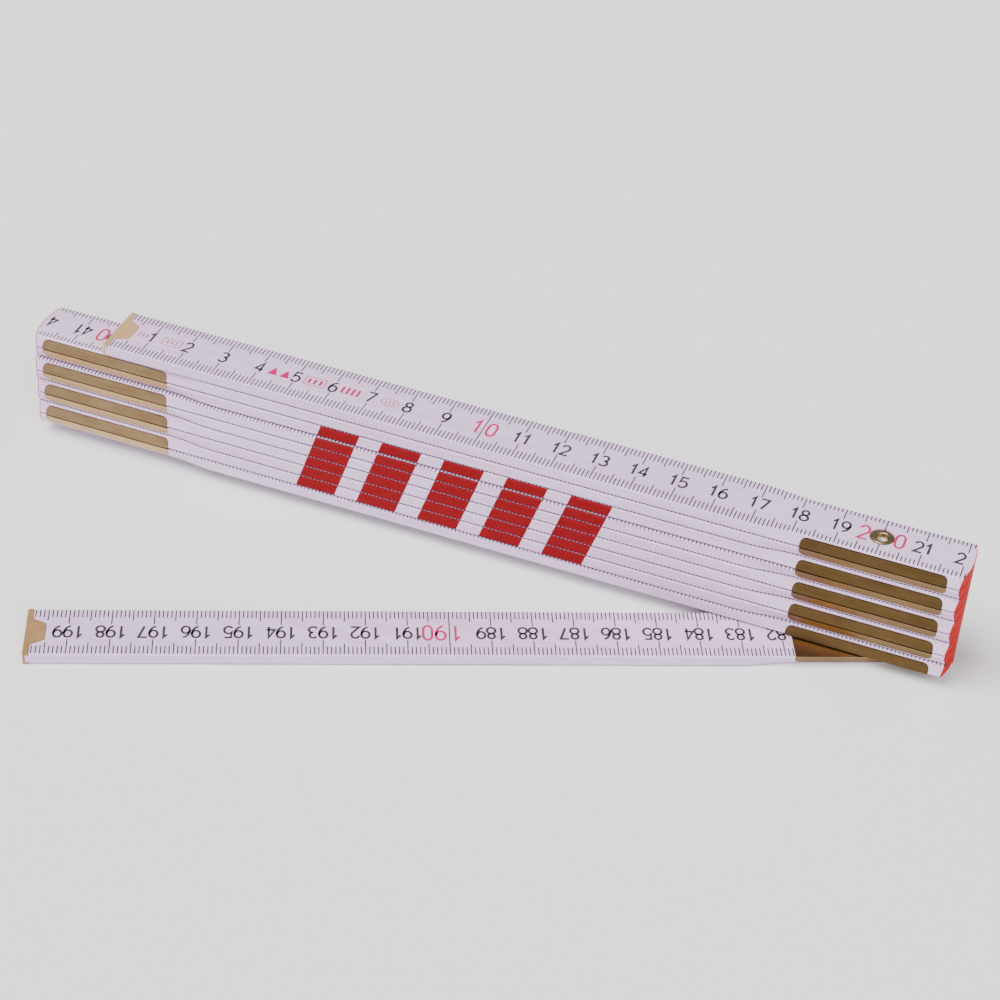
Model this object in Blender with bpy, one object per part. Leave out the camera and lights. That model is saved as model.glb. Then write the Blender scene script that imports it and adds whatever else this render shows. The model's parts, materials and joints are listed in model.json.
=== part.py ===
"""Two metre folding rule: ten lacquered beech limbs turning on nine riveted spring joints.

The limbs lie stacked flat, limb 1 on top. Odd joints are at the right end (+X) and even joints at
the left end, so the stack opens in a zigzag. Limb 10 is swung out towards the front (-Y).
"""
import math

import bmesh
import bpy
from mathutils import Matrix, Vector

# ---------------------------------------------------------------- driving dimensions (metres)
LIMB_COUNT = 10
JOINT_COUNT = LIMB_COUNT - 1
PIVOT_SPACING = 0.200
LIMB_WIDTH = 0.016
LIMB_THICKNESS = 0.0031
LAYER_GAP = 0.0003
LAYER_PITCH = LIMB_THICKNESS + LAYER_GAP
# Rounded ends about the pivots: the odd joints' end of the stack, then the even joints' end.
ODD_END_RADIUS = 0.0222
EVEN_END_RADIUS = 0.0210
EDGE_CHAMFER = 0.00035
NARROW_WIDTH = 0.0138
NARROW_START = 0.0300
NARROW_FULL = 0.0180
NARROW_STEPS = 4
FIT_GAP = 0.00015

PLATE_HALF_LENGTH = 0.0175
PLATE_THICKNESS = 0.0004
FLANGE_HEIGHT = 0.0024
FLANGE_LEAN = (LIMB_WIDTH - NARROW_WIDTH) / 2.0 / LIMB_THICKNESS
FLANGE_CORNER = 0.0013
DETENT_START = 0.0055
DETENT_END = 0.0090
DETENT_HEIGHT = 0.00014
DETENT_WIDTH = 0.0012

RIVET_HEAD_RADIUS = 0.0029
RIVET_HEAD_THICKNESS = 0.0005
RIVET_SHANK_RADIUS = 0.0019
RIVET_CUP_RADIUS = 0.0016
RIVET_CUP_DEPTH = 0.0014
RUNNING_CLEARANCE = 0.0001
RIVET_SIDES = 16

CAP_THICKNESS = 0.0004
CAP_STRIP = 0.0014
CAP_TONGUE_LENGTH = 0.0047
CAP_TONGUE_ROOT = 0.0090
CAP_TONGUE_TIP = 0.0054

# Opening of each joint from fully folded, in degrees: limb 4 stands a little proud of limb 3.
JOINT_OPENING_DEG = [0.0] * JOINT_COUNT
JOINT_OPENING_DEG[2] = 0.2
JOINT_OPENING_DEG[8] = 23.8

MATERIALS = {
    "lacquered_beech": ((0.68, 0.62, 0.69), 0.38, 0.0),
    "joint_sheet": ((0.42, 0.31, 0.15), 0.32, 1.0),
    "rivet_brass": ((0.62, 0.50, 0.28), 0.28, 1.0),
    "cap_brass": ((0.66, 0.47, 0.24), 0.35, 1.0),
}


# ---------------------------------------------------------------- scene helpers
def clear_scene():
    for obj in list(bpy.data.objects):
        bpy.data.objects.remove(obj, do_unlink=True)


def make_materials():
    made = {}
    for name, (colour, roughness, metallic) in MATERIALS.items():
        material = bpy.data.materials.new(name)
        material.use_nodes = True
        shader = material.node_tree.nodes["Principled BSDF"]
        shader.inputs["Base Color"].default_value = (*colour, 1.0)
        shader.inputs["Roughness"].default_value = roughness
        shader.inputs["Metallic"].default_value = metallic
        made[name] = material
    return made


def mesh_object(name, build):
    """A new object whose mesh is drawn by build(bm)."""
    mesh = bpy.data.meshes.new(name)
    bm = bmesh.new()
    build(bm)
    bmesh.ops.recalc_face_normals(bm, faces=bm.faces)
    bm.to_mesh(mesh)
    bm.free()
    obj = bpy.data.objects.new(name, mesh)
    bpy.context.scene.collection.objects.link(obj)
    return obj


def combined_mesh(name, body, cutters=(), additions=()):
    """The body's mesh with the additions joined on and the cutters taken away."""
    for operation, tools in (("UNION", additions), ("DIFFERENCE", cutters)):
        for tool in tools:
            modifier = body.modifiers.new(operation.title(), "BOOLEAN")
            modifier.operation = operation
            modifier.object = tool
    bpy.context.view_layer.update()
    evaluated = body.evaluated_get(bpy.context.evaluated_depsgraph_get())
    mesh = bpy.data.meshes.new_from_object(evaluated)
    mesh.name = name
    for obj in [body, *cutters, *additions]:
        bpy.data.objects.remove(obj, do_unlink=True)
    return mesh


def bridge_rings(bm, rings):
    count = len(rings[0])
    for first, second in zip(rings, rings[1:]):
        for i in range(count):
            j = (i + 1) % count
            bm.faces.new((first[i], first[j], second[j], second[i]))


def lathe(bm, profile, sides):
    """Turn a closed outline of (radius, height) about Z; its first and last points are on Z."""
    rings = []
    for radius, height in profile[1:-1]:
        ring = []
        for i in range(sides):
            angle = 2.0 * math.pi * i / sides
            ring.append(bm.verts.new((radius * math.cos(angle), radius * math.sin(angle), height)))
        rings.append(ring)
    bridge_rings(bm, rings)
    for (_, height), ring in ((profile[0], rings[0]), (profile[-1], rings[-1])):
        centre = bm.verts.new((0.0, 0.0, height))
        for i in range(sides):
            bm.faces.new((centre, ring[i], ring[(i + 1) % sides]))


def prism(bm, outline, low, high):
    """A plan outline raised from low to high."""
    base = bm.faces.new([bm.verts.new((x, y, low)) for x, y in outline])
    raised = bmesh.ops.extrude_face_region(bm, geom=[base])
    verts = [item for item in raised["geom"] if isinstance(item, bmesh.types.BMVert)]
    bmesh.ops.translate(bm, verts=verts, vec=(0.0, 0.0, high - low))


# ---------------------------------------------------------------- the limb
ROW_STEPS = (-1.0, -0.5, 0.0, 0.5, 1.0)


def limb_ring(bm, station, bottom_width, top_width, end_radius):
    """One section of the limb; a signed end radius bends it into the end about a pivot."""
    bottom = bottom_width / 2.0
    top = top_width / 2.0
    points = [(step * (bottom - EDGE_CHAMFER), 0.0) for step in ROW_STEPS]
    points.append((bottom, EDGE_CHAMFER))
    points.append((top, LIMB_THICKNESS - EDGE_CHAMFER))
    points += [(-step * (top - EDGE_CHAMFER), LIMB_THICKNESS) for step in ROW_STEPS]
    points.append((-top, LIMB_THICKNESS - EDGE_CHAMFER))
    points.append((-bottom, EDGE_CHAMFER))
    ring = []
    for y, z in points:
        x = station
        if end_radius:
            x += math.copysign(math.sqrt(end_radius**2 - y**2), end_radius)
        ring.append(bm.verts.new((x, y, z)))
    return ring


def close_limb_end(bm, ring):
    last = len(ROW_STEPS) - 1
    for i in range(last):
        bm.faces.new((ring[i], ring[i + 1], ring[2 * last + 2 - i], ring[2 * last + 3 - i]))
    bm.faces.new((ring[last], ring[last + 1], ring[last + 2], ring[last + 3]))
    bm.faces.new((ring[0], ring[-1], ring[-2], ring[-3]))


def narrowing():
    """Distance from the pivot and outer face width, from full width to the milled joint zone."""
    steps = []
    for i in range(NARROW_STEPS + 1):
        share = i / NARROW_STEPS
        eased = share * share * (3.0 - 2.0 * share)
        distance = NARROW_START + share * (NARROW_FULL - NARROW_START)
        steps.append((distance, LIMB_WIDTH + eased * (NARROW_WIDTH - LIMB_WIDTH)))
    return steps


def draw_limb(bm, start_radius, end_radius):
    """Along +X from the start pivot (joint face up) to the end pivot (joint face down).

    A radius of None is a free end, cut square for its cap.
    """
    full = LIMB_WIDTH
    narrow = NARROW_WIDTH
    inset = CAP_THICKNESS + FIT_GAP
    rings = []
    if start_radius:
        rings.append(limb_ring(bm, 0.0, narrow, full, -start_radius))
        for x, width in reversed(narrowing()):
            rings.append(limb_ring(bm, x, width, full, None))
    else:
        rings.append(limb_ring(bm, inset, full, full, None))
    if end_radius:
        for x, width in narrowing():
            rings.append(limb_ring(bm, PIVOT_SPACING - x, full, width, None))
        rings.append(limb_ring(bm, PIVOT_SPACING, full, narrow, end_radius))
    else:
        rings.append(limb_ring(bm, PIVOT_SPACING - inset, full, full, None))
    bridge_rings(bm, rings)
    close_limb_end(bm, rings[0])
    close_limb_end(bm, rings[-1])


# ---------------------------------------------------------------- the sheet channel of a joint
def channel_section(tip, grow, deep):
    """Half of the channel's outline, from the fold outwards to the flange tip and back inside.

    Height 0 is the joint face. The flanges lean inwards like a dovetail. deep pushes the outer
    skin away, which makes the outline that is milled out of the limb.
    """
    half = LIMB_WIDTH / 2.0
    inner_base = PLATE_THICKNESS + grow
    inner_fold = half - PLATE_THICKNESS - grow - FLANGE_LEAN * inner_base
    inner_tip = half - PLATE_THICKNESS - grow - FLANGE_LEAN * tip
    outer_tip = half - FLANGE_LEAN * tip + deep
    return [(half + deep, -deep), (outer_tip, tip), (inner_tip, tip), (inner_fold, inner_base)]


def draw_channel(bm, grow, deep):
    length = PLATE_HALF_LENGTH + grow
    corner = FLANGE_CORNER + grow
    height = FLANGE_HEIGHT + grow
    stations = []
    for angle in (0.0, 30.0, 60.0, 90.0):
        turn = math.radians(angle)
        stations.append((length - corner + corner * math.cos(turn),
                         height - corner + corner * math.sin(turn)))
    stations = [(-x, tip) for x, tip in stations] + stations[::-1]
    rings = []
    for x, tip in stations:
        half = channel_section(tip, grow, deep)
        outline = half + [(-y, z) for y, z in reversed(half)]
        rings.append([bm.verts.new((x, y, z)) for y, z in outline])
    bridge_rings(bm, rings)
    for ring in (rings[0], rings[-1]):
        bm.faces.new((ring[0], ring[1], ring[2], ring[3]))
        bm.faces.new((ring[4], ring[5], ring[6], ring[7]))
        bm.faces.new((ring[0], ring[3], ring[4], ring[7]))


def draw_detents(bm, base, peak):
    """Two low ridges along X, one each side of the pivot, that click the joint into place."""
    half = DETENT_WIDTH / 2.0
    for side in (-1.0, 1.0):
        rings = []
        for x in (DETENT_START, DETENT_END):
            outline = ((-half, base), (half, base), (half, 0.0), (0.0, peak), (-half, 0.0))
            rings.append([bm.verts.new((side * x, y, z)) for y, z in outline])
        bridge_rings(bm, rings)
        bm.faces.new(rings[0])
        bm.faces.new(rings[1])


def drill(name, radius, low, high):
    profile = [(0.0, low), (radius, low), (radius, high), (0.0, high)]
    return mesh_object(name, lambda bm: lathe(bm, profile, RIVET_SIDES))


def flip_over(obj):
    """Turn a tool over, from joint face up to joint face down, at the same height."""
    obj.data.transform(Matrix.Rotation(math.pi, 4, "X"))


def upper_plate_mesh():
    """The channel under a limb: flanges up, joint face at height 0, with detent grooves."""
    plate = mesh_object("channel", lambda bm: draw_channel(bm, 0.0, 0.0))
    hole = drill("hole", RIVET_SHANK_RADIUS + FIT_GAP, -LIMB_THICKNESS, LIMB_THICKNESS)
    groove = mesh_object("groove", lambda bm: draw_detents(bm, -LAYER_GAP, DETENT_HEIGHT))
    return combined_mesh("upper_plate", plate, cutters=[hole, groove])


def lower_plate_mesh():
    """The channel over a limb: flanges down, joint face at height 0, with detent ridges."""
    plate = mesh_object("channel", lambda bm: draw_channel(bm, 0.0, 0.0))
    flip_over(plate)
    hole = drill("hole", RIVET_SHANK_RADIUS + RUNNING_CLEARANCE, -LIMB_THICKNESS, LIMB_THICKNESS)
    ridge_root = -PLATE_THICKNESS / 2.0
    ridge = mesh_object("ridge", lambda bm: draw_detents(bm, ridge_root, DETENT_HEIGHT))
    return combined_mesh("lower_plate", plate, cutters=[hole], additions=[ridge])


def rivet_mesh():
    """A cupped rivet through two limbs; height 0 is the underside of its lower head."""
    total = LIMB_THICKNESS + LAYER_PITCH
    head = RIVET_HEAD_RADIUS
    thick = RIVET_HEAD_THICKNESS
    half = [
        (0.0, RIVET_CUP_DEPTH),
        (RIVET_CUP_RADIUS * 0.7, RIVET_CUP_DEPTH),
        (RIVET_CUP_RADIUS, 0.0),
        (head, thick * 0.3),
        (head, thick),
        (RIVET_SHANK_RADIUS, thick),
    ]
    profile = half + [(radius, total - height) for radius, height in reversed(half)]
    rivet = mesh_object("rivet", lambda bm: lathe(bm, profile, RIVET_SIDES))
    return combined_mesh("rivet", rivet)


# ---------------------------------------------------------------- the brass end caps
def cap_outline(grow, end):
    """Plan of the cap's leaf: a strip over the full width, with a tapered tongue."""
    half = LIMB_WIDTH / 2.0 + end
    strip = CAP_STRIP + grow
    tongue = CAP_TONGUE_LENGTH + grow
    root = CAP_TONGUE_ROOT / 2.0 + grow
    tip = CAP_TONGUE_TIP / 2.0 + grow
    back = [(-end, half), (strip, half), (strip, root), (tongue, tip)]
    return back + [(x, -y) for x, y in reversed(back)]


def cap_leaves(grow, end):
    """The top and bottom leaves of a cap, whose end wall stands at X = 0."""
    leaf = CAP_THICKNESS + grow
    top = LIMB_THICKNESS
    outline = cap_outline(grow, end)
    upper = mesh_object("upper_leaf", lambda bm: prism(bm, outline, top - leaf, top + end))
    lower = mesh_object("lower_leaf", lambda bm: prism(bm, outline, -end, leaf))
    return upper, lower


def cap_mesh():
    half = LIMB_WIDTH / 2.0
    wall = [(0.0, -half), (CAP_THICKNESS, -half), (CAP_THICKNESS, half), (0.0, half)]
    body = mesh_object("wall", lambda bm: prism(bm, wall, 0.0, LIMB_THICKNESS))
    return combined_mesh("end_cap", body, additions=cap_leaves(0.0, 0.0))


# ---------------------------------------------------------------- milling and drilling the limbs
def move_tool(obj, x, z):
    obj.data.transform(Matrix.Translation(Vector((x, 0.0, z))))
    return obj


def joint_tools(at_start):
    """What is cut from a limb at one pivot: the plate's seat, the bore and the head's seat."""
    seat = mesh_object("seat", lambda bm: draw_channel(bm, FIT_GAP, LIMB_THICKNESS / 4.0))
    sink = RIVET_HEAD_THICKNESS + FIT_GAP
    spare = LIMB_THICKNESS
    head = RIVET_HEAD_RADIUS + FIT_GAP
    if at_start:
        flip_over(seat)
        move_tool(seat, 0.0, LIMB_THICKNESS)
        bore = drill("bore", RIVET_SHANK_RADIUS + RUNNING_CLEARANCE, -spare, 2.0 * spare)
        bottom = drill("head_seat", head, -spare, sink)
        return [seat, bore, bottom]
    move_tool(seat, PIVOT_SPACING, 0.0)
    bore = drill("bore", RIVET_SHANK_RADIUS + FIT_GAP, -spare, 2.0 * spare)
    top = drill("head_seat", head, LIMB_THICKNESS - sink, 2.0 * spare)
    return [seat, move_tool(bore, PIVOT_SPACING, 0.0), move_tool(top, PIVOT_SPACING, 0.0)]


def cap_tools(at_start):
    """What is cut from a limb for its cap's two leaves."""
    leaves = cap_leaves(FIT_GAP, LIMB_THICKNESS / 4.0)
    if not at_start:
        for leaf in leaves:
            leaf.data.transform(Matrix.Rotation(math.pi, 4, "Z"))
            move_tool(leaf, PIVOT_SPACING, 0.0)
    return list(leaves)


def limb_mesh(name, start_radius, end_radius):
    limb = mesh_object(name, lambda bm: draw_limb(bm, start_radius, end_radius))
    cutters = joint_tools(True) if start_radius else cap_tools(True)
    cutters += joint_tools(False) if end_radius else cap_tools(False)
    return combined_mesh(name, limb, cutters=cutters)


# ---------------------------------------------------------------- assembly
def add_empty(name, parent, location, turn):
    empty = bpy.data.objects.new(name, None)
    bpy.context.scene.collection.objects.link(empty)
    empty.parent = parent
    empty.location = location
    empty.rotation_euler = (0.0, 0.0, turn)
    return empty


def add_piece(name, mesh, material, parent, location, turn):
    obj = bpy.data.objects.new(name, mesh)
    bpy.context.scene.collection.objects.link(obj)
    obj.parent = parent
    obj.location = location
    obj.rotation_euler = (0.0, 0.0, turn)
    if not mesh.materials:
        mesh.materials.append(material)
    mesh.shade_smooth()
    mesh.set_sharp_from_angle(angle=math.radians(30.0))
    return obj


def assemble(materials):
    beech = materials["lacquered_beech"]
    sheet = materials["joint_sheet"]
    first = limb_mesh("first_limb", None, ODD_END_RADIUS)
    even = limb_mesh("even_limb", ODD_END_RADIUS, EVEN_END_RADIUS)
    odd = limb_mesh("odd_limb", EVEN_END_RADIUS, ODD_END_RADIUS)
    last = limb_mesh("last_limb", ODD_END_RADIUS, None)
    upper = upper_plate_mesh()
    lower = lower_plate_mesh()
    rivet = rivet_mesh()
    cap = cap_mesh()

    root = add_empty("rule_root", None, (-PIVOT_SPACING / 2.0, 0.0, 0.0), 0.0)
    holder = root
    pieces = []
    for number in range(1, LIMB_COUNT + 1):
        # An odd limb runs to the right from its own pivot, an even limb runs to the left.
        direction = 1.0 if number % 2 else -1.0
        turn = 0.0 if number % 2 else math.pi
        height = (LIMB_COUNT - number) * LAYER_PITCH
        next_pivot = Vector((direction * PIVOT_SPACING, 0.0, 0.0))
        mesh = {1: first, LIMB_COUNT: last}.get(number, odd if number % 2 else even)
        at = Vector((0.0, 0.0, height))
        pieces.append(add_piece(f"limb_{number:02d}", mesh, beech, holder, at, turn))
        if number == 1:
            pieces.append(add_piece("cap_zero_end", cap, materials["cap_brass"], holder, at, turn))
        else:
            top = at + Vector((0.0, 0.0, LIMB_THICKNESS))
            name = f"joint_{number - 1}_lower_plate"
            pieces.append(add_piece(name, lower, sheet, holder, top, turn))
        if number == LIMB_COUNT:
            end = at + next_pivot
            brass = materials["cap_brass"]
            pieces.append(add_piece("cap_far_end", cap, brass, holder, end, turn + math.pi))
            continue
        under = at + next_pivot
        pieces.append(add_piece(f"joint_{number}_upper_plate", upper, sheet, holder, under, turn))
        bottom = under - Vector((0.0, 0.0, LAYER_PITCH))
        rivet_material = materials["rivet_brass"]
        pieces.append(add_piece(f"joint_{number}_rivet", rivet, rivet_material, holder, bottom, turn))
        opening = direction * math.radians(JOINT_OPENING_DEG[number - 1])
        holder = add_empty(f"joint_{number}_axis", holder, next_pivot, opening)
    return root, pieces


def centre_on_origin(root, pieces):
    """Put the origin under the middle of the whole rule, at the level it lies on."""
    bpy.context.view_layer.update()
    points = [obj.matrix_world @ vert.co for obj in pieces for vert in obj.data.vertices]
    middle_x = (min(p.x for p in points) + max(p.x for p in points)) / 2.0
    middle_y = (min(p.y for p in points) + max(p.y for p in points)) / 2.0
    root.location -= Vector((middle_x, middle_y, min(p.z for p in points)))


clear_scene()
rule_root, rule_pieces = assemble(make_materials())
centre_on_origin(rule_root, rule_pieces)
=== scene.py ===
"""Looks of the two metre folding rule: lacquer, printed scales, brass joints, floor, light and camera."""
import json
import math

import bmesh
import bpy
from mathutils import Matrix, Vector


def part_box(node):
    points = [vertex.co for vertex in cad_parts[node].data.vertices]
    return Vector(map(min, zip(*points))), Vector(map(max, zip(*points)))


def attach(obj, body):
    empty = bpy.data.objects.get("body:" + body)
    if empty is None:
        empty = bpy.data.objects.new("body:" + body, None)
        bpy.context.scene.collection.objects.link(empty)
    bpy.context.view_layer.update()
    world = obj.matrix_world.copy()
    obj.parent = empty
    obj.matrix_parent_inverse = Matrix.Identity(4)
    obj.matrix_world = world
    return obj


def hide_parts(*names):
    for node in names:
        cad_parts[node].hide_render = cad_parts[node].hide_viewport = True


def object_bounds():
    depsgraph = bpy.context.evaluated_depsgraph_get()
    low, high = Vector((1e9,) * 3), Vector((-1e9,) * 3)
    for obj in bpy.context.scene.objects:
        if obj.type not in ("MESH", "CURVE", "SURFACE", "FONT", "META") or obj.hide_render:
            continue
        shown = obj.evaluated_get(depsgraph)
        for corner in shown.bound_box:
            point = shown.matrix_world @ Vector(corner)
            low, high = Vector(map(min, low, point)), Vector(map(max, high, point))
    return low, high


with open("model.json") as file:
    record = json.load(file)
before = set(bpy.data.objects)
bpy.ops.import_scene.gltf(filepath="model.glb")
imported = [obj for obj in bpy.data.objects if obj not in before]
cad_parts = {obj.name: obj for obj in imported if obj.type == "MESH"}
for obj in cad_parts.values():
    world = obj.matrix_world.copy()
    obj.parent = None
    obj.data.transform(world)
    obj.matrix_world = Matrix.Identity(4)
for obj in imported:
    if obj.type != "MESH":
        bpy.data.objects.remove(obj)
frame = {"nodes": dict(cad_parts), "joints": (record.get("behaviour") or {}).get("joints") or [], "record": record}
CAD_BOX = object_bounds()

# ---------------------------------------------------------------- sizes shared with the part (metres)
LIMB_COUNT = 10
SPACING = 0.200
HALF_WIDTH = 0.008
NARROW_HALF = 0.0069
THICKNESS = 0.0031
CHAMFER = 0.00035
# Rounded ends about the pivots of the odd joints, at +X, and of the even joints.
ODD_END_RADIUS = 0.0222
EVEN_END_RADIUS = 0.0210
NARROW_START = 0.170
NARROW_FULL = 0.182
NARROW_STEPS = 4
PLATE_END = 0.0177
MM = 0.001
INK_LIFT = 0.00002
# Radius of the cup bottom that takes the pale grey painted highlight.
CUP_HIGHLIGHT_RADIUS = 0.00115

# ---------------------------------------------------------------- printed scale
TICK_WIDTH = 0.00029
TICK_LENGTHS = {1: 0.0030, 5: 0.0041, 10: 0.0054}
DIGIT_HEIGHT = 0.0039
DIGIT_WIDTH = 0.0020
DIGIT_PITCH = 0.00245
DIGIT_STROKE = 0.00060
TENS_HEIGHT = 0.0050
TENS_WIDTH = 0.0024
TENS_PITCH = 0.0031
TENS_STROKE = 0.00060
# Distance of the red numerals from their centimetre line, and from the middle of a rivet.
LINE_GAP = 0.0021
RIVET_GAP = 0.0043
LEADING_ONE_SHIFT = 0.0006
# Three numerals about a rivet are printed narrower, to stay clear of the next number.
CROWDED_GAP = 0.0039
CROWDED_WIDTH = 0.0017
CROWDED_PITCH = 0.0022
# First tick of a face, in millimetres, past a cap and past a plate, and the last one before a cap.
FIRST_FREE_TICK = 2
FIRST_PLATE_TICK = 18
LAST_FREE_TICK = 198
# The tick halfway along a limb runs right across it.
MIDDLE_TICK = 100

# How far the ticks run over the rounding of the edge, as a share of it: more on a few of the limbs.
EDGE_WRAP = {1: 0.50, 4: 0.95, 9: 0.85}
PLAIN_WRAP = 0.12

# Steps across a rounded end, and how far its paint runs over the edges.
END_STEPS = (-1.0, -0.5, 0.0, 0.5, 1.0)
PAINT_LIP = 0.00020

SIDE_STRIPES = 5
STRIPE_START = 0.060
STRIPE_PITCH = 0.0165
STRIPE_WIDTH = 0.0105
STRIPE_SLANT = 0.32

RIVET_SIDES = 48

FLOOR_SIZE = 16.0
FLOOR_DROP = 0.0001
CAMERA_AT = (0.15640, -0.41279, 0.39011)
CAMERA_TURN = (51.446, -2.979, 21.020)
CAMERA_LENS = 87.75


# ---------------------------------------------------------------- material helpers
class Nodes:
    """A material's node tree with short ways to add and join nodes."""

    def __init__(self, name):
        self.material = bpy.data.materials.new(name)
        self.material.use_nodes = True
        self.tree = self.material.node_tree
        self.shader = self.tree.nodes["Principled BSDF"]

    def add(self, kind, **values):
        node = self.tree.nodes.new(kind)
        for key, value in values.items():
            if key in node.inputs:
                node.inputs[key].default_value = value
            else:
                setattr(node, key, value)
        return node

    def join(self, source, target):
        self.tree.links.new(source, target)

    def places(self, stretch, turn=0.0):
        """Rest-pose positions, turned about Z and stretched."""
        coordinates = self.add("ShaderNodeTexCoord")
        mapping = self.add("ShaderNodeMapping")
        mapping.inputs["Rotation"].default_value = (0.0, 0.0, turn)
        mapping.inputs["Scale"].default_value = stretch
        self.join(coordinates.outputs["Object"], mapping.inputs["Vector"])
        return mapping.outputs["Vector"]

    def noise(self, vector, scale, detail=4.0, roughness=0.55):
        node = self.add("ShaderNodeTexNoise", Scale=scale, Detail=detail, Roughness=roughness)
        self.join(vector, node.inputs["Vector"])
        return node.outputs["Fac"]

    def ramp(self, factor, stops):
        node = self.add("ShaderNodeValToRGB")
        elements = node.color_ramp.elements
        for index, (position, colour) in enumerate(stops):
            element = elements[index] if index < 2 else elements.new(position)
            element.position = position
            element.color = (*colour, 1.0)
        self.join(factor, node.inputs["Fac"])
        return node.outputs["Color"]

    def mix(self, factor, first, second, blend="MIX"):
        node = self.add("ShaderNodeMix", data_type="RGBA", blend_type=blend)
        for socket, value in ((node.inputs[0], factor), (node.inputs[6], first), (node.inputs[7], second)):
            if isinstance(value, bpy.types.NodeSocket):
                self.join(value, socket)
            elif isinstance(value, tuple):
                socket.default_value = (*value, 1.0)
            else:
                socket.default_value = value
        return node.outputs[2]

    def math(self, operation, *values):
        node = self.add("ShaderNodeMath", operation=operation)
        for socket, value in zip(node.inputs, values):
            if isinstance(value, bpy.types.NodeSocket):
                self.join(value, socket)
            else:
                socket.default_value = value
        return node.outputs["Value"]

    def spread(self, factor, low, high):
        node = self.add("ShaderNodeMapRange")
        self.join(factor, node.inputs["Value"])
        node.inputs["To Min"].default_value = low
        node.inputs["To Max"].default_value = high
        return node.outputs["Result"]

    def bump(self, height, strength, distance):
        node = self.add("ShaderNodeBump", Strength=strength, Distance=distance)
        self.join(height, node.inputs["Height"])
        self.join(node.outputs["Normal"], self.shader.inputs["Normal"])


def lacquer(name, turn):
    """White lacquer over beech: faint grain streaks and handling marks."""
    nodes = Nodes(name)
    grain = nodes.noise(nodes.places((12.0, 420.0, 420.0), turn), 1.0, 6.0, 0.6)
    cloud = nodes.noise(nodes.places((30.0, 60.0, 60.0), turn), 1.0, 3.0)
    specks = nodes.noise(nodes.places((260.0, 900.0, 900.0), turn), 1.0, 2.0)
    base = nodes.ramp(grain, ((0.30, (0.685, 0.480, 0.725)), (0.72, (0.820, 0.610, 0.860))))
    shade = nodes.ramp(cloud, ((0.25, (0.93, 0.915, 0.935)), (0.75, (1.0, 1.0, 1.0))))
    colour = nodes.mix(1.0, base, shade, "MULTIPLY")
    dirt = nodes.ramp(specks, ((0.70, (0.0, 0.0, 0.0)), (0.80, (1.0, 1.0, 1.0))))
    marked = nodes.mix(nodes.math("MULTIPLY", dirt, 0.18), colour, (0.30, 0.26, 0.30))
    nodes.join(marked, nodes.shader.inputs["Base Color"])
    nodes.join(nodes.spread(grain, 0.34, 0.52), nodes.shader.inputs["Roughness"])
    nodes.shader.inputs["Coat Weight"].default_value = 0.15
    nodes.shader.inputs["Coat Roughness"].default_value = 0.25
    nodes.bump(grain, 0.25, 0.00005)
    return nodes.material


def sheet_metal(name, dark, bright, low, high, turn=0.0):
    """Brass-plated sheet: rolled along the limb, with stains and fine scratches."""
    nodes = Nodes(name)
    rolled = nodes.noise(nodes.places((60.0, 3000.0, 3000.0), turn), 1.0, 5.0, 0.65)
    stains = nodes.noise(nodes.places((140.0, 260.0, 260.0), turn), 1.0, 4.0, 0.6)
    factor = nodes.mix(0.45, nodes.ramp(stains, ((0.3, (0.0,) * 3), (0.7, (1.0,) * 3))),
                       nodes.ramp(rolled, ((0.3, (0.0,) * 3), (0.7, (1.0,) * 3))))
    nodes.join(nodes.mix(factor, dark, bright), nodes.shader.inputs["Base Color"])
    nodes.join(nodes.spread(stains, low, high), nodes.shader.inputs["Roughness"])
    nodes.shader.inputs["Metallic"].default_value = 1.0
    nodes.bump(rolled, 0.30, 0.00004)
    return nodes.material


def ink(name, colour, worn):
    """Printed ink, a little uneven, thinner where it is worn."""
    nodes = Nodes(name)
    patch = nodes.noise(nodes.places((1.0, 1.0, 1.0)), 1400.0, 3.0)
    nodes.join(nodes.ramp(patch, ((0.30, colour), (0.80, worn))), nodes.shader.inputs["Base Color"])
    nodes.join(nodes.spread(patch, 0.60, 0.80), nodes.shader.inputs["Roughness"])
    nodes.shader.inputs["Specular IOR Level"].default_value = 0.15
    return nodes.material


# ---------------------------------------------------------------- where each limb lies
def find_pivots():
    """Pivot of every joint, and the two free ends, as plan positions at rest."""
    points = {}
    for number, joint in enumerate(frame["joints"], start=1):
        points[number] = Vector((joint["pos_m"][0], joint["pos_m"][1], 0.0))
    points[0] = points[1] - Vector((SPACING, 0.0, 0.0))
    mounts = {mount["name"]: mount for mount in frame["record"]["mounts"]}
    halfway = Vector(mounts["underside"]["pos_m"])
    last = points[LIMB_COUNT - 1]
    points[LIMB_COUNT] = last + 2.0 * (halfway - last)
    return points


PIVOTS = find_pivots()


def limb_place(number):
    """Matrix from a limb's own frame (u along it, v across, w up from its underside) to the scene."""
    start = PIVOTS[number - 1]
    along = (PIVOTS[number] - start).normalized()
    across = Vector((-along.y, along.x, 0.0))
    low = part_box(f"limb_{number:02d}")[0][2]
    rows = [(along.x, across.x, 0.0, start.x), (along.y, across.y, 0.0, start.y),
            (0.0, 0.0, 1.0, low), (0.0, 0.0, 0.0, 1.0)]
    return Matrix(rows)


def turned_over():
    """From the frame of a limb's underside to the limb's own frame."""
    middle = Matrix.Translation((SPACING / 2.0, 0.0, THICKNESS / 2.0))
    return middle @ Matrix.Rotation(math.pi, 4, "Y") @ middle.inverted()


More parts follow.
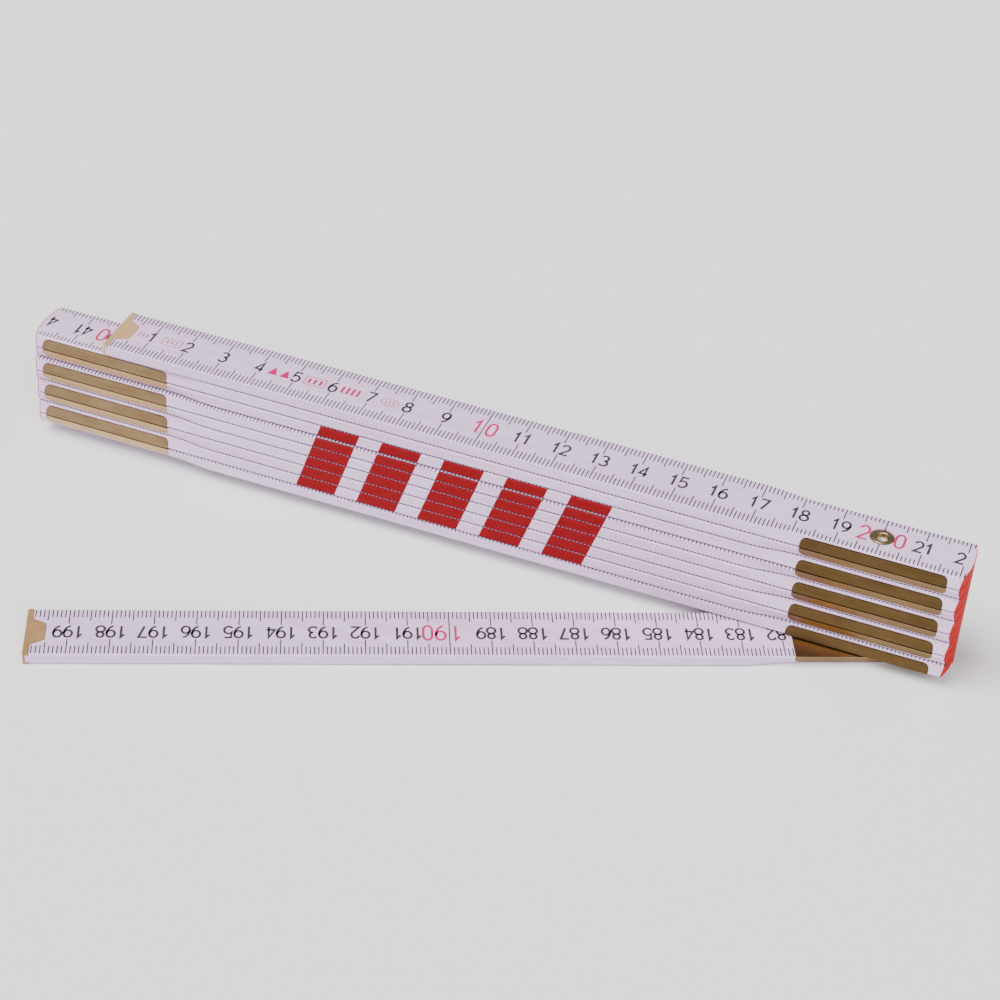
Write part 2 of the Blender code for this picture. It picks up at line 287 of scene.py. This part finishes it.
# ---------------------------------------------------------------- drawing on a face
class Print:
    """Flat ink shapes in a face's own frame, collected into one mesh."""

    def __init__(self):
        self.bm = bmesh.new()
        self.place = Matrix.Identity(4)

    def face(self, points):
        self.bm.faces.new([self.bm.verts.new(self.place @ Vector(point)) for point in points])

    def flat(self, points):
        self.face([(u, v, THICKNESS + INK_LIFT) for u, v in points])

    def stroke(self, points, width):
        """A line of even width through points, mitred at its corners."""
        closed = (points[0] - points[-1]).length < 1e-9
        sides = []
        for index, point in enumerate(points):
            before = points[index - 1] if index else (points[-2] if closed else None)
            last = index == len(points) - 1
            after = points[index + 1] if not last else (points[1] if closed else None)
            into = (point - before).normalized() if before is not None else None
            out = (after - point).normalized() if after is not None else None
            into = into if into is not None else out
            out = out if out is not None else into
            normal = (Vector((-into.y, into.x)) + Vector((-out.y, out.x))).normalized()
            reach = width / 2.0 / max(0.35, normal.dot(Vector((-into.y, into.x))))
            sides.append((point + normal * reach, point - normal * reach))
        for (a, b), (c, d) in zip(sides, sides[1:]):
            self.flat([a, b, d, c])

    def object(self, name, material, body, slot):
        """Make one object of all that is drawn, unless nothing is."""
        if not self.bm.verts:
            self.bm.free()
            return
        bmesh.ops.recalc_face_normals(self.bm, faces=self.bm.faces)
        mesh = bpy.data.meshes.new(name)
        self.bm.to_mesh(mesh)
        self.bm.free()
        obj = bpy.data.objects.new(name, mesh)
        bpy.context.scene.collection.objects.link(obj)
        mesh.materials.append(material)
        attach(obj, body)


def arc(cx, cy, rx, ry, start, end, steps=14):
    points = []
    for i in range(steps + 1):
        angle = math.radians(start + (end - start) * i / steps)
        points.append((cx + rx * math.cos(angle), cy + ry * math.sin(angle)))
    return points


def digit_strokes(digit):
    """The strokes of a plain drawing-office numeral in a unit box."""
    shapes = {
        "0": [arc(0.5, 0.68, 0.44, 0.32, 0, 180) + arc(0.5, 0.32, 0.44, 0.32, 180, 360) + [(0.94, 0.68)]],
        "1": [[(0.12, 0.74), (0.52, 1.0), (0.52, 0.0)]],
        "2": [arc(0.48, 0.70, 0.46, 0.30, 165, -28) + [(0.02, 0.0), (1.0, 0.0)]],
        "3": [arc(0.46, 0.75, 0.42, 0.25, 150, -90), arc(0.46, 0.26, 0.52, 0.26, 90, -150)],
        "4": [[(1.0, 0.28), (0.0, 0.28), (0.72, 1.0), (0.72, 0.0)]],
        "5": [[(0.92, 1.0), (0.16, 1.0), (0.08, 0.52)] + arc(0.46, 0.32, 0.52, 0.32, 128, -150)],
        "6": [arc(0.5, 0.31, 0.48, 0.31, 90, 450, 20), arc(0.86, 0.31, 0.84, 0.68, 180, 96, 10)],
        "7": [[(0.0, 1.0), (1.0, 1.0), (0.36, 0.0)]],
        "8": [arc(0.5, 0.77, 0.40, 0.23, 90, 450, 20), arc(0.5, 0.27, 0.50, 0.27, 90, 450, 20)],
        "9": [arc(0.5, 0.69, 0.48, 0.31, 90, 450, 20), arc(0.14, 0.69, 0.84, 0.68, 0, -84, 10)],
    }
    return shapes[digit]


def draw_digit(sheet, digit, u, v, width, height, stroke):
    """One numeral centred on (u, v)."""
    for points in digit_strokes(digit):
        placed = [Vector((u + (x - 0.5) * width, v + (y - 0.5) * height)) for x, y in points]
        sheet.stroke(placed, stroke)


def half_width(u, end_joint):
    """Half the width of the printed face: milled narrower near its rivet end."""
    if not end_joint:
        return HALF_WIDTH
    share = min(1.0, max(0.0, (u - NARROW_START) / (NARROW_FULL - NARROW_START))) * NARROW_STEPS
    before = min(int(share), NARROW_STEPS - 1)
    eased = [i * i * (3.0 - 2.0 * i) for i in (before / NARROW_STEPS, (before + 1) / NARROW_STEPS)]
    part = eased[0] + (share - before) * (eased[1] - eased[0])
    return HALF_WIDTH + part * (NARROW_HALF - HALF_WIDTH)


def draw_tick(sheet, u, side, inner, end_joint, wrap):
    """A tick from its inner end to the edge, and on over part of the rounding."""
    half = half_width(u, end_joint)
    low = u - TICK_WIDTH / 2.0
    high = u + TICK_WIDTH / 2.0
    over = CHAMFER * wrap
    rows = [(side * inner, THICKNESS + INK_LIFT), (side * (half - CHAMFER), THICKNESS + INK_LIFT),
            (side * (half - CHAMFER + over + INK_LIFT), THICKNESS - over + INK_LIFT)]
    for (v0, w0), (v1, w1) in zip(rows, rows[1:]):
        sheet.face([(low, v0, w0), (high, v0, w0), (high, v1, w1), (low, v1, w1)])


def last_tick(reach):
    """The last millimetre whose ticks lie wholly on the face, rounded off reach past its pivot."""
    if not reach:
        return LAST_FREE_TICK
    corner = math.sqrt(reach**2 - (NARROW_HALF - CHAMFER) ** 2)
    return int((SPACING + corner) / MM)


def draw_scale(black, red, first, start_joint, reach, wrap):
    """One face's scale: ticks along both edges, numerals between them."""
    start = FIRST_PLATE_TICK if start_joint else FIRST_FREE_TICK
    for count in range(start, last_tick(reach) + 1):
        kind = 10 if count % 10 == 0 else 5 if count % 5 == 0 else 1
        inner = 0.0 if count == MIDDLE_TICK else HALF_WIDTH - TICK_LENGTHS[kind]
        for side in (-1.0, 1.0):
            draw_tick(black, count * MM, side, inner, bool(reach), wrap)
    for centimetre in range(2 if start_joint else 1, 23 if reach else 20):
        u = 10.0 * centimetre * MM
        draw_number(black, red, u, first + centimetre, start_joint, reach)


def draw_number(black, red, u, value, start_joint, reach):
    """A number about its centimetre tick, without numerals that would run off the printed face."""
    text = str(value)
    lowest = (PLATE_END if start_joint else 0.0) + DIGIT_WIDTH / 2.0
    highest = SPACING + max(0.0, reach - MM) - DIGIT_WIDTH / 2.0
    if value % 10:
        for index, digit in enumerate(text):
            at = u + (index - (len(text) - 1) / 2.0) * DIGIT_PITCH
            if lowest < at < highest:
                draw_digit(black, digit, at, 0.0, DIGIT_WIDTH, DIGIT_HEIGHT, DIGIT_STROKE)
        return
    at_rivet = abs(u - SPACING) < MM
    if at_rivet and not reach:
        return
    crowded = at_rivet and len(text) > 2
    gap = CROWDED_GAP if crowded else RIVET_GAP if at_rivet else LINE_GAP
    width, pitch = (CROWDED_WIDTH, CROWDED_PITCH) if crowded else (TENS_WIDTH, TENS_PITCH)
    # A leading 1 is narrow, so it stands closer to the line.
    lead = gap - LEADING_ONE_SHIFT if text[0] == "1" and not crowded else gap
    draw_digit(red, text[0], u - lead, 0.0, width, TENS_HEIGHT, TENS_STROKE)
    for index, digit in enumerate(text[1:]):
        draw_digit(red, digit, u + gap + index * pitch, 0.0, width, TENS_HEIGHT, TENS_STROKE)


def outline_box(sheet, left, right, half, width):
    corners = [(left, -half), (right, -half), (right, half), (left, half), (left, -half)]
    sheet.stroke([Vector(corner) for corner in corners], width)


def upright_bars(sheet, positions, half, width):
    for at in positions:
        sheet.stroke([Vector((at, -half)), Vector((at, half))], width)


def draw_marks(red):
    """Small generic marks at the zero end: boxes, bars, triangles and a ring."""
    outline_box(red, 0.0129, 0.0180, 0.0014, 0.00018)
    upright_bars(red, (0.0142, 0.0154, 0.0166), 0.0007, 0.00030)
    upright_bars(red, (0.0062, 0.0073, 0.0084), 0.0009, 0.00030)
    for left in (0.0425, 0.0458):
        red.flat([(left, -0.0016), (left + 0.0026, -0.0016), (left + 0.0013, 0.0016)])
    outline_box(red, 0.0523, 0.0577, 0.0017, 0.00022)
    upright_bars(red, (0.0535, 0.0550, 0.0565), 0.0010, 0.00070)
    upright_bars(red, (0.0625, 0.0639, 0.0653, 0.0667), 0.0014, 0.00065)
    ring = arc(0.0751, 0.0, 0.0023, 0.0014, 0, 360, 24)
    red.stroke([Vector(point) for point in ring], 0.00020)
    upright_bars(red, (0.0741, 0.0751, 0.0761), 0.0007, 0.00022)


def draw_side_stripes(sheet, number, place):
    """This limb's part of five slanted stripes across the front of the folded stack."""
    inverse = place.inverted()
    front = PIVOTS[number].y if number % 2 else PIVOTS[number - 1].y
    base = place.translation.z
    side = -1.0 if number % 2 else 1.0
    edge = HALF_WIDTH + INK_LIFT
    levels = [(base, edge - CHAMFER), (base + CHAMFER, edge),
              (base + THICKNESS - CHAMFER, edge), (base + THICKNESS, edge - CHAMFER)]
    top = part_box("limb_03")[1][2]
    for index in range(SIDE_STRIPES):
        left = PIVOTS[0].x + STRIPE_START + index * STRIPE_PITCH
        for (z0, v0), (z1, v1) in zip(levels, levels[1:]):
            corners = []
            for x, z, v in ((0.0, z0, v0), (STRIPE_WIDTH, z0, v0), (STRIPE_WIDTH, z1, v1), (0.0, z1, v1)):
                shifted = left + x - (top - z) * STRIPE_SLANT
                local = inverse @ Vector((shifted, front, z))
                corners.append((local.x, side * v, local.z))
            sheet.face(corners)


def paint_end(sheet, pivot, reach, bottom, top):
    """Paint over the end face of a limb, rounded about its pivot, and just over the edges round it.

    The reach is negative at the limb's start.
    """
    def skin(v, w, back=0.0):
        return (pivot + math.copysign(math.sqrt(reach**2 - v**2) + INK_LIFT - back, reach), v, w)

    def loop(back):
        ring = [skin(step * (bottom - CHAMFER), -INK_LIFT, back) for step in END_STEPS]
        ring.append(skin(bottom + INK_LIFT, CHAMFER, back))
        ring.append(skin(top + INK_LIFT, THICKNESS - CHAMFER, back))
        ring += [skin(-step * (top - CHAMFER), THICKNESS + INK_LIFT, back) for step in END_STEPS]
        ring.append(skin(-top - INK_LIFT, THICKNESS - CHAMFER, back))
        ring.append(skin(-bottom - INK_LIFT, CHAMFER, back))
        return ring

    edge = loop(0.0)
    lip = loop(PAINT_LIP)
    last = len(END_STEPS) - 1
    for i in range(last):
        sheet.face([edge[i], edge[i + 1], edge[2 * last + 2 - i], edge[2 * last + 3 - i]])
    sheet.face(edge[last:last + 4])
    sheet.face([edge[0], edge[-1], edge[-2], edge[-3]])
    for i in range(len(edge)):
        j = (i + 1) % len(edge)
        sheet.face([edge[i], edge[j], lip[j], lip[i]])


def print_limb(number, inks):
    """All that is printed on one limb, as one object for each ink."""
    body = f"limb_{number:02d}_body"
    place = limb_place(number)
    start_joint = number > 1
    end_joint = number < LIMB_COUNT
    black = Print()
    red = Print()
    stripes = Print()
    paint = Print()
    for sheet in (black, red, stripes, paint):
        sheet.place = place
    radii = (EVEN_END_RADIUS, ODD_END_RADIUS)
    reach = radii[number % 2] if end_joint else 0.0
    start_reach = radii[(number - 1) % 2] if start_joint else 0.0
    draw_scale(black, red, 20 * (number - 1), start_joint, reach, EDGE_WRAP.get(number, PLAIN_WRAP))
    if start_joint:
        paint_end(paint, 0.0, -start_reach, NARROW_HALF, HALF_WIDTH)
    if end_joint:
        paint_end(paint, SPACING, reach, HALF_WIDTH, NARROW_HALF)
    if number == 1:
        draw_marks(red)
    if 3 <= number <= 8:
        draw_side_stripes(stripes, number, place)
    under = place @ turned_over()
    black.place = under
    red.place = under
    draw_scale(black, red, 20 * (LIMB_COUNT - number), end_joint, start_reach, PLAIN_WRAP)
    slot = "lacquered_beech"
    black.object(f"limb_{number:02d}_black_print", inks["black"], body, slot)
    red.object(f"limb_{number:02d}_red_numerals", inks["magenta"], body, slot)
    stripes.object(f"limb_{number:02d}_side_stripes", inks["red"], body, slot)
    paint.object(f"limb_{number:02d}_end_paint", inks["end"], body, slot)


# ---------------------------------------------------------------- rivets
def rivet_profile(height):
    """Half of the turned section from the bottom of the cup out over the rolled head."""
    cup = 0.0014
    points = [(0.0, height - cup), (0.0008, height - cup), (0.00125, height - cup + 0.0002)]
    points += [(0.0014, height - 0.0006), (0.0015, height - 0.0003)]
    roll = arc(0.0020, height - 0.00022, 0.00045, 0.00022, 165, 20, 8)
    rim = [(0.0026, height - 0.00012), (0.0029, height - 0.0002), (0.0029, height - 0.0004)]
    return points + roll + rim + [(0.0019, height - 0.0005)]


def make_rivet(number, materials):
    """A hollow rivet: rolled brass head, paler in the bottom of its cup, where a pale grey paints the highlight.
    """
    node = f"joint_{number}_rivet"
    low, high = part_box(node)
    height = high[2] - low[2]
    centre = Vector(((low[0] + high[0]) / 2.0, (low[1] + high[1]) / 2.0, low[2]))
    upper = rivet_profile(height)
    lower = [(radius, height - level) for radius, level in reversed(upper)]
    profile = upper + lower
    bm = bmesh.new()
    rings = []
    for radius, level in profile[1:-1]:
        ring = []
        for i in range(RIVET_SIDES):
            angle = 2.0 * math.pi * i / RIVET_SIDES
            point = Vector((radius * math.cos(angle), radius * math.sin(angle), level))
            ring.append(bm.verts.new(centre + point))
        rings.append(ring)
    for first, second in zip(rings, rings[1:]):
        for i in range(RIVET_SIDES):
            j = (i + 1) % RIVET_SIDES
            bm.faces.new((first[i], first[j], second[j], second[i]))
    for level, ring in ((profile[0][1], rings[0]), (profile[-1][1], rings[-1])):
        middle = bm.verts.new(centre + Vector((0.0, 0.0, level)))
        for i in range(RIVET_SIDES):
            bm.faces.new((middle, ring[i], ring[(i + 1) % RIVET_SIDES]))
    bmesh.ops.recalc_face_normals(bm, faces=bm.faces)
    mesh = bpy.data.meshes.new(f"rivet_{number}_turned")
    bm.to_mesh(mesh)
    bm.free()
    obj = bpy.data.objects.new(mesh.name, mesh)
    bpy.context.scene.collection.objects.link(obj)
    for material in materials:
        mesh.materials.append(material)
    axis = Vector((centre.x, centre.y))
    for polygon in mesh.polygons:
        # Faces within the cup take the second material, a pale grey painted highlight.
        if (polygon.center.xy - axis).length < CUP_HIGHLIGHT_RADIUS:
            polygon.material_index = 1
    mesh.shade_smooth()
    mesh.set_sharp_from_angle(angle=math.radians(50.0))
    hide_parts(node)
    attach(obj, f"limb_{number:02d}_body")


# ---------------------------------------------------------------- floor, light and camera
def make_floor():
    bpy.ops.mesh.primitive_plane_add(size=FLOOR_SIZE, location=(0.0, 0.0, CAD_BOX[0][2] - FLOOR_DROP))
    floor = bpy.context.object
    floor.name = "floor"
    nodes = Nodes("pale_floor")
    nodes.shader.inputs["Base Color"].default_value = (0.90, 0.90, 0.90, 1.0)
    nodes.shader.inputs["Roughness"].default_value = 0.9
    floor.data.materials.append(nodes.material)


def add_sun(name, source, strength, spread):
    """A broad soft light that falls evenly on the floor, shining from source to the origin."""
    data = bpy.data.lights.new(name, "SUN")
    data.energy = strength
    data.angle = math.radians(spread)
    light = bpy.data.objects.new(name, data)
    light.rotation_euler = (-Vector(source)).to_track_quat("-Z", "Y").to_euler()
    bpy.context.scene.collection.objects.link(light)


def make_lights():
    add_sun("key", (-0.40, -0.32, 1.0), 4.5, 40.0)
    add_sun("fill", (0.50, -0.75, 0.75), 2.0, 45.0)
    world = bpy.data.worlds.new("studio")
    world.use_nodes = True
    background = world.node_tree.nodes["Background"]
    background.inputs["Color"].default_value = (0.95, 0.93, 0.92, 1.0)
    background.inputs["Strength"].default_value = 0.35
    bpy.context.scene.world = world


def make_camera():
    data = bpy.data.cameras.new("camera")
    data.lens = CAMERA_LENS
    data.sensor_width = 36.0
    data.clip_start = 0.01
    camera = bpy.data.objects.new("camera", data)
    camera.location = CAMERA_AT
    camera.rotation_euler = [math.radians(angle) for angle in CAMERA_TURN]
    bpy.context.scene.collection.objects.link(camera)
    bpy.context.scene.camera = camera


# ---------------------------------------------------------------- dress the frame
def dress(node, material):
    mesh = frame["nodes"][node].data
    mesh.materials.clear()
    mesh.materials.append(material)


def dress_frame():
    last = PIVOTS[LIMB_COUNT - 1] - PIVOTS[LIMB_COUNT]
    swung = math.atan2(last.y, last.x)
    white = lacquer("white_lacquer", 0.0)
    white_swung = lacquer("white_lacquer_swung", -swung)
    # Lit and shaded copies of one brass: the upper plates are darker as painted shade, the lower ones lighter as a
    # painted reflection of the floor, and the plates of the even joints, at -X, are paler than those of the odd
    # joints as a painted highlight.
    uppers = (sheet_metal("sheet_upper_painted_shade_left_highlight", (0.27, 0.165, 0.080), (0.45, 0.300, 0.165), 0.26, 0.40),
              sheet_metal("sheet_upper_painted_shade", (0.115, 0.066, 0.024), (0.19, 0.118, 0.048), 0.26, 0.40))
    lowers = (sheet_metal("sheet_lower_painted_reflection_left_highlight", (0.42, 0.265, 0.120), (0.58, 0.395, 0.205), 0.26, 0.40),
              sheet_metal("sheet_lower_painted_reflection", (0.175, 0.105, 0.042), (0.27, 0.170, 0.075), 0.26, 0.40))
    caps = {"cap_zero_end": sheet_metal("satin_brass", (0.70, 0.42, 0.19), (0.84, 0.54, 0.27), 0.40, 0.55),
            "cap_far_end": sheet_metal("deep_brass", (0.40, 0.225, 0.085), (0.55, 0.34, 0.155), 0.40, 0.55)}
    # The second rivet material is a pale grey painted highlight for the bottom of the cup.
    rivet = (sheet_metal("rolled_brass", (0.30, 0.205, 0.105), (0.50, 0.38, 0.23), 0.24, 0.36),
             sheet_metal("cup_bottom_painted_highlight", (0.56, 0.50, 0.47), (0.74, 0.69, 0.67), 0.42, 0.55))
    for number in range(1, LIMB_COUNT + 1):
        dress(f"limb_{number:02d}", white_swung if number == LIMB_COUNT else white)
    for number in range(1, LIMB_COUNT):
        dress(f"joint_{number}_upper_plate", uppers[number % 2])
        dress(f"joint_{number}_lower_plate", lowers[number % 2])
        make_rivet(number, rivet)
    for node, brass in caps.items():
        brass.node_tree.nodes["Principled BSDF"].inputs["Metallic"].default_value = 0.55
        dress(node, brass)


make_floor()
make_lights()
make_camera()
dress_frame()
INKS = {
    "black": ink("scale_ink", (0.028, 0.022, 0.034), (0.070, 0.056, 0.080)),
    "magenta": ink("numeral_ink", (0.48, 0.005, 0.095), (0.58, 0.020, 0.145)),
    "red": ink("side_ink", (0.200, 0.0006, 0.0035), (0.26, 0.002, 0.006)),
    "end": ink("end_paint", (0.44, 0.0010, 0.0008), (0.60, 0.0035, 0.0025)),
}
for limb_number in range(1, LIMB_COUNT + 1):
    print_limb(limb_number, INKS)

bpy.context.view_layer.update()
